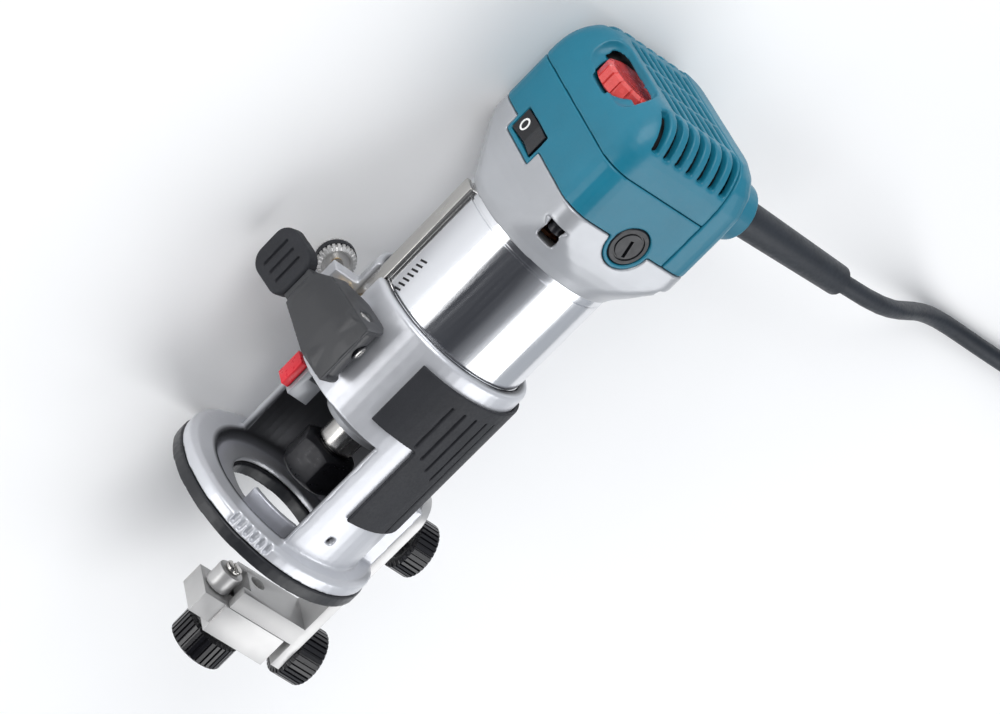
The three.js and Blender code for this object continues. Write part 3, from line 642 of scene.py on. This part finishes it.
def make_knobs():
    """The knobs of depth adjuster, guide and clamp screws, and the speed dial."""
    ribbed("depth_knob_look", "depth_knob", "satin_nickel", "x", DEPTH_KNOB, 7.5, (-33, -25.5),
           (24, 0.7, 0.45), BASE)
    along_x = Matrix.Translation(DEPTH_KNOB) @ Matrix.Rotation(math.radians(90), 4, "Y")
    # A dark ring standing in for the knob's groove: painted shade of the groove
    outline = [(6.9, -30.6), (7.75, -30.6), (7.75, -28.2), (6.9, -28.2)]
    link("depth_knob_groove_shade", ring_mesh(outline, BASE @ along_x, 64), "depth_knob", "grip_rubber")
    shank("depth_shaft", "depth_knob", "x", DEPTH_KNOB, 2.2, (-26.5, -4))

    upper, adjuster = (0, 0, UPPER_SCREW_Z), (0, 0, ADJUSTER_Z)
    # (name, node, axis, centre, knob's radius and ends, shank's radius and ends)
    for name, node, axis, centre, knob, core in (
        ("upper_screw", "clamp_screw_upper", "y", upper, (11.5, (49.2, 59.7)), (2.6, (35, 50.5))),
        ("adjuster", "adjusting_screw", "y", adjuster, (12, (46.3, 58.8)), (2.4, (11.2, 47.5))),
        ("lower_screw", "clamp_screw_lower", "z", LOWER_SCREW, (12.2, (-64, -51.5)),
         (2.4, (-52.5, -29))),
    ):
        ribbed(name + "_look", node, "black_plastic", axis, centre, *knob, (32, 0.8, 0.42), BASE)
        shank(name + "_shank", node, axis, centre, *core)
    ribbed("dial_look", "speed_dial", "dial_plastic", "z", DIAL, 14, (-3.75, 3.75),
           (18, 0.8, 0.2), TOOL, 0.4)


# ---- Switch, brush caps ----
def make_switch():
    """The rocker and the O mark on it."""
    cast("power_rocker", 0.3, 5)
    steps, half_line = 40, 0.36
    section = ((-half_line, 0.25), (-half_line, -0.05), (half_line, -0.05), (half_line, 0.25))
    tilt = Matrix.Translation((SWITCH.x - 4.9, -31.32, SWITCH.z)) @ Matrix.Rotation(
        math.radians(9.9), 4, "Z")

    def make(work):
        rings = []
        for i in range(steps):
            angle = 2 * math.pi * i / steps
            spoke = Vector((math.cos(angle) * 1.55, 0, math.sin(angle) * 2.15))
            out = spoke.normalized()
            rings.append([tilt @ (spoke + out * a + Vector((0, b, 0))) for a, b in section])
        fill_hoop(work, rings)

    link("switch_marks", smooth_mesh(make, TOOL, 30), "power_rocker", "white_print")


def make_brush_caps():
    """The round caps over the carbon brushes, each with a short screwdriver slot."""
    place = TOOL @ Matrix.Translation((0, 0, BRUSH_Z)) @ Matrix.Rotation(math.radians(105), 4, "X")
    outline = ((7.2, 31.5), (7.9, 31.9), (7.9, 36.6), (7.4, 37.25), (6.0, 37.35),
               (5.85, 36.75), (5.3, 36.75), (5.15, 37.3), (0.6, 37.4))  # (radius, x)
    for side, name in ((-1, "left"), (1, "right")):
        rings = [(radius, x * side) for radius, x in outline]
        cap = loose(turned(rings, "x", (0, 0, BRUSH_Z)), TOOL)
        low, high = sorted((36.0 * side, 38.5 * side))
        mesh = evaluated(cut(cap, block((low, -4.6, -0.7), (high, 2.6, 0.7)), place))
        smooth_by_angle(mesh, 30)
        node = "brush_cap_" + name
        link(node + "_look", mesh, "motor_unit", "base_plastic", node)


# ---- The base ----
def base_wedge(angle, width, r0, r1, z0, z1):
    """A radial block at an angle from the front towards +X, in the base's frame."""
    return loose(block((-width / 2, -r1, z0), (width / 2, -r0, z1)),
                 BASE @ Matrix.Rotation(math.radians(angle), 4, "Z"))


def painted_inner_shade(material):
    """A copy of a material with painted shade on the sleeve's inner wall, darker by radius from its
    axis.
    """
    per_metre = 20  # brings the radius into the ramp's 0 to 1
    copy = material.copy()
    copy.name = "cast_aluminium_inner_shade"
    nodes, links = copy.node_tree.nodes, copy.node_tree.links
    shader = nodes["Principled BSDF"]
    away = nodes.new("ShaderNodeVectorMath")
    away.operation = "SUBTRACT"
    away.inputs[1].default_value = BASE.translation
    across = nodes.new("ShaderNodeVectorMath")
    across.operation = "CROSS_PRODUCT"
    across.inputs[1].default_value = AXIS_Z
    length = nodes.new("ShaderNodeVectorMath")
    length.operation = "LENGTH"
    scaled = nodes.new("ShaderNodeMath")
    scaled.operation = "MULTIPLY"
    scaled.inputs[1].default_value = per_metre
    links.new(nodes.new("ShaderNodeTexCoord").outputs["Object"], away.inputs[0])
    links.new(away.outputs["Vector"], across.inputs[0])
    links.new(across.outputs["Vector"], length.inputs[0])
    links.new(length.outputs["Value"], scaled.inputs[0])
    ramp = nodes.new("ShaderNodeValToRGB")
    stops = ramp.color_ramp.elements
    stops[0].position, stops[0].color = 0.50, (0.8, 0.8, 0.8, 1)
    stops[1].position, stops[1].color = 0.71, (1, 1, 1, 1)
    # Painted shade: darker from 29.6 to 32.8 mm from the axis, on the sleeve's inner wall
    for radius, shade in ((29.6, 0.8), (31.0, 0.4), (32.8, 0.10), (33.9, 0.10)):
        stops.new(radius * MM * per_metre).color = (shade, shade, shade * 1.05, 1)
    links.new(scaled.outputs["Value"], ramp.inputs["Fac"])
    painted_shade_mix = nodes.new("ShaderNodeMixRGB")
    painted_shade_mix.blend_type = "MULTIPLY"
    painted_shade_mix.inputs["Fac"].default_value = 1
    links.new(shader.inputs["Base Color"].links[0].from_socket, painted_shade_mix.inputs["Color1"])
    links.new(ramp.outputs["Color"], painted_shade_mix.inputs["Color2"])
    links.new(painted_shade_mix.outputs["Color"], shader.inputs["Base Color"])
    return copy


def make_base():
    """The casting with its ribs, seams and a hole, the plate, and the grooved grip pad."""
    ribs = [RIB_ANGLE + step * RIB_PITCH for step in range(6)]
    cutters = [base_wedge(angle, 1.9, 42.4, 50, 6.2, 20) for angle in ribs]
    cutters += [base_wedge(angle, 0.7, 37.2, 50, 10.4, 20) for angle in SEAM_ANGLES]
    cutters.append(base_wedge(100, 3.0, 32, 50, 20.2, 23.4))
    casting = cast("base_casting", 0.55, 4, cutters)
    # The casting's inner wall gets painted shade
    casting.data.materials[0] = painted_inner_shade(MATERIALS["cast_aluminium"])
    cast("base_plate", 0.5, 3)

    grooves = [base_wedge(angle, 1.15, 37.5, 42, low, high) for angle, low, high in PAD_GROOVES]
    cast("grip_pad", 0.36, 3, grooves)


def make_rack():
    """The plain strip of the rack on the barrel."""
    strip = loose(block((-7.4, -34.5, 64), (0.6, -32.2, 150.6)), BASE)
    bevel = strip.modifiers.new("bevel", "BEVEL")
    bevel.width = 0.5 * MM
    bevel.segments = 3
    mesh = evaluated(strip)
    smooth_by_angle(mesh)
    link("rack_strip", mesh, "motor_unit", "bright_steel", "depth_rack")


# ---- The lever
def make_lever_stud():
    """The stud's round end on the lever's barrel, with a dark seat around it."""
    place = LEVER_PLACE @ Matrix.Translation((*LEVER_PIVOT, 2.0)) @ Matrix.Rotation(
        math.radians(47 - LEVER_TURN), 4, "Z")
    seat = turned(((3.5, 6.0), (3.5, 7.75), (3.0, 7.9)), "x", (0, 0, 0), 40)
    link("stud_seat", smooth_mesh(seat, place, 30), "clamp_lever", "black_plastic")
    outline = ((2.6, 6.0), (2.6, 7.9), (2.3, 8.2), (1.5, 8.2), (1.2, 7.7), (0.4, 7.7))
    end = turned(outline, "x", (0, 0, 0), 40)
    link("stud_end", smooth_mesh(end, place, 30), "clamp_lever", "bright_steel")


def lever_crown(work):
    """The lever's rounded outer face, in rings from the pivot end to the neck."""
    steps = 12
    rings = []
    for x, low, high, height in (
        (0.5, -12.6, 12.6, 0.05), (5, -12.6, 12.6, 0.7), (14, -12.4, 12.6, 1.5),
        (26.5, -9.2, 12.6, 1.9), (31.0, -8.0, 9.6, 1.8), (34.0, -7.2, 7.8, 1.0),
    ):
        ring = [Vector((x, -1.2, high)), Vector((x, -1.2, low))]
        for i in range(steps + 1):
            share = i / steps
            bulge = height * (1 - (2 * share - 1) ** 2)
            ring.append(Vector((x, bulge, low + (high - low) * share)))
        rings.append(ring)
    fill_outline(work, rings)


def make_lever():
    """The lever with its crown and pivot barrel, and the soft pad with three grooves."""
    neck_cut = loose(block((33.8, -1.3, -12), (37.6, 4, 12)), LEVER_PLACE)
    crown = loose(lever_crown, LEVER_PLACE)
    barrel = loose(turned(((7.5, -11.6), (7.5, 11.8)), "z", (*LEVER_PIVOT, 0)), LEVER_PLACE)
    lever = cast("clamp_lever", 0.45, 6, [neck_cut], [crown, barrel])
    lever.data.materials[0] = MATERIALS["lever_black"]

    # The pad's block stands on the lever's outer face
    face = Matrix(((1, 0, 0, 47.9), (0, 0, -1, -0.4), (0, 1, 0, 0), (0, 0, 0, 1)))
    pad = loose(rounded_block((21.4, 21.4, 5.8), 6.5, 1.6, face), LEVER_PLACE)
    for x in (43.2, 47.6, 52.0):
        pad = cut(pad, block((x - 0.55, -1.5, -6.6), (x + 0.55, 1, 6.6)), LEVER_PLACE)
    mesh = softened(pad, 0.35, 4)
    link("lever_pad_look", mesh, "clamp_lever", "grip_rubber", "lever_pad")


# ---- The cord ----
# In millimetres from the origin of the whole part, not in the tool's frame
COIL = Vector((-168, 289, 0))
CORD_R = 3.75
CORD_ROUTE = [
    (-118.6, 92.5, 37.77), (-118.6, 108, 37.5), (-118.4, 123, 34.6), (-118, 140, 26),
    (-117.6, 157, 15), (-117.1, 172, 7.3), (-116.7, 187, 4.2), (-116.4, 203, 3.9),
    (-116.3, 221, 3.9), (-116.6, 240, 3.9), (-117.3, 259, 4.1),
]
LAYER_HEIGHTS = (5.15, 12.65, 20.15)
TURN_RADII = ((50, 42.5, 35), (35, 42.5, 50), (50, 42.5))  # one row for each layer
STEPS_PER_TURN = 40
CLIMB = 0.25  # the last share of a turn, in which the cord moves to the next one
RISE_STEPS = 18
RISE_HEIGHT = 11.05
RISE_TURN = math.radians(155)
PLUG_END = Vector((-42.5, 20, 31.2))


def eased(share):
    return share * share * (3 - 2 * share)


def coil_points():
    """The coil's turns, then the rise onto its top where the plug lies."""

    def at(radius, angle, height):
        return COIL + Vector((radius * math.cos(angle), radius * math.sin(angle), height))

    points = []
    radii = [(radius, height) for row, height in zip(TURN_RADII, LAYER_HEIGHTS) for radius in row]
    for turn, (radius, height) in enumerate(radii):
        next_radius, next_height = radii[min(turn + 1, len(radii) - 1)]
        for step in range(STEPS_PER_TURN):
            share = eased(max(0, step / STEPS_PER_TURN - (1 - CLIMB)) / CLIMB)
            angle = 2 * math.pi * step / STEPS_PER_TURN
            points.append(at(
                radius + (next_radius - radius) * share, angle,
                height + (next_height - height) * share,
            ))
    last_radius, last_height = radii[-1]
    for step in range(RISE_STEPS):
        share = step / (RISE_STEPS - 1)
        rise = eased(share)
        height = last_height + RISE_HEIGHT * rise
        points.append(at(last_radius + 2 * rise, RISE_TURN * share, height))
    return points


def make_cord():
    """The cord as one tube, with its plug and tie."""
    points = [Vector(p) for p in CORD_ROUTE] + coil_points() + [COIL + PLUG_END]
    curve = bpy.data.curves.new("power_cord", "CURVE")
    curve.dimensions = "3D"
    curve.bevel_depth = CORD_R * MM
    curve.bevel_resolution = 5
    curve.resolution_u = 2
    spline = curve.splines.new("NURBS")
    spline.points.add(len(points) - 1)
    for control, point in zip(spline.points, points):
        control.co = (*(point * MM), 1)
    spline.order_u = 4
    spline.use_endpoint_u = True
    cord = bpy.data.objects.new("power_cord", curve)
    bpy.context.collection.objects.link(cord)
    curve.materials.append(MATERIALS["cord_rubber"])
    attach(cord, "motor_unit")
    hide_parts("cord_lead", "cord_coil")
    ends = [
        bevelled(node, 0.6) for node in ("plug_body", "plug_pin_left", "plug_pin_right", "cord_tie")
    ]


# ---- Carried-over pieces ----
# Nodes that have a shape of their own above
DETAILED = {"cord_lead", "cord_coil", "plug_body", "plug_pin_left", "plug_pin_right", "cord_tie",
            "upper_head_cover", "flare_housing", "motor_barrel", "depth_knob", "clamp_screw_upper",
            "adjusting_screw", "clamp_screw_lower", "speed_dial", "power_rocker", "brush_cap_left",
            "brush_cap_right", "base_casting", "base_plate", "grip_pad", "clamp_lever", "lever_pad",
            "rear_cord_cover", "lower_head_housing", "depth_rack"}


def make_plain_pieces():
    """Every other CAD node, with its edges broken."""
    for node in frame["nodes"]:
        if node not in DETAILED:
            # The head screws take the darker black steel instead of their bright steel: painted
            # shade of their pockets
            bevelled(node, slot="black_steel" if node.startswith("head_screw") else None)


# ---- Floor and light ----
def make_floor():
    """A pale matt floor."""
    bpy.ops.mesh.primitive_plane_add(size=8)
    floor = bpy.context.object
    floor.name = "floor"
    paint = Material("floor_paint", (0.93, 0.93, 0.93), 0.7).vary_roughness(30, 0.05)
    floor.data.materials.append(paint.material)


def area_light(name, place, target, size, power):
    """A soft box that faces a target; both places are in millimetres from the part's origin."""
    data = bpy.data.lights.new(name, "AREA")
    data.shape = "RECTANGLE"
    data.size, data.size_y = size
    data.energy = power
    light = bpy.data.objects.new(name, data)
    start, end = Vector(place), Vector(target)
    turn = (end - start).to_track_quat("-Z", "Y").to_matrix().to_4x4()
    light.matrix_world = Matrix.Translation(start * MM) @ turn
    bpy.context.collection.objects.link(light)


def make_light():
    """A studio that is darker above the front of the tool, so that polished metal shows bands."""
    bpy.context.scene.view_settings.view_transform = "Standard"
    world = bpy.data.worlds.new("world")
    bpy.context.scene.world = world
    world.use_nodes = True
    nodes, links = world.node_tree.nodes, world.node_tree.links
    place = nodes.new("ShaderNodeTexCoord")
    dot = nodes.new("ShaderNodeVectorMath")
    dot.operation = "DOT_PRODUCT"
    dot.inputs[1].default_value = Vector((0.30, -0.62, 0.72)).normalized()
    links.new(place.outputs["Generated"], dot.inputs[0])
    ramp = nodes.new("ShaderNodeValToRGB")
    stops = ramp.color_ramp.elements
    stops[0].position, stops[0].color = 0.35, (0.80, 0.84, 0.90, 1)
    stops[1].position, stops[1].color = 0.95, (0.10, 0.105, 0.12, 1)
    middle = stops.new(0.72)
    middle.color = (0.62, 0.64, 0.68, 1)
    links.new(dot.outputs["Value"], ramp.inputs["Fac"])
    links.new(ramp.outputs["Color"], nodes["Background"].inputs["Color"])
    nodes["Background"].inputs["Strength"].default_value = 0.62
    area_light("key", (250, 600, 1000), (0, 40, 40), (1.4, 0.9), 10)
    area_light("fill", (-900, -700, 500), (0, 0, 40), (0.8, 0.8), 9)
    area_light("low", (500, -900, 250), (0, 0, 40), (0.9, 0.4), 4)


make_camera()
make_cord()
make_head()
make_flare()
cast("lower_head_housing", 0.5, 3)
cast("rear_cord_cover", 0.55, 5)
make_barrel()
make_knobs()
make_switch()
make_brush_caps()
make_base()
make_lever()
make_lever_stud()
make_rack()
make_plain_pieces()
make_floor()
make_light()
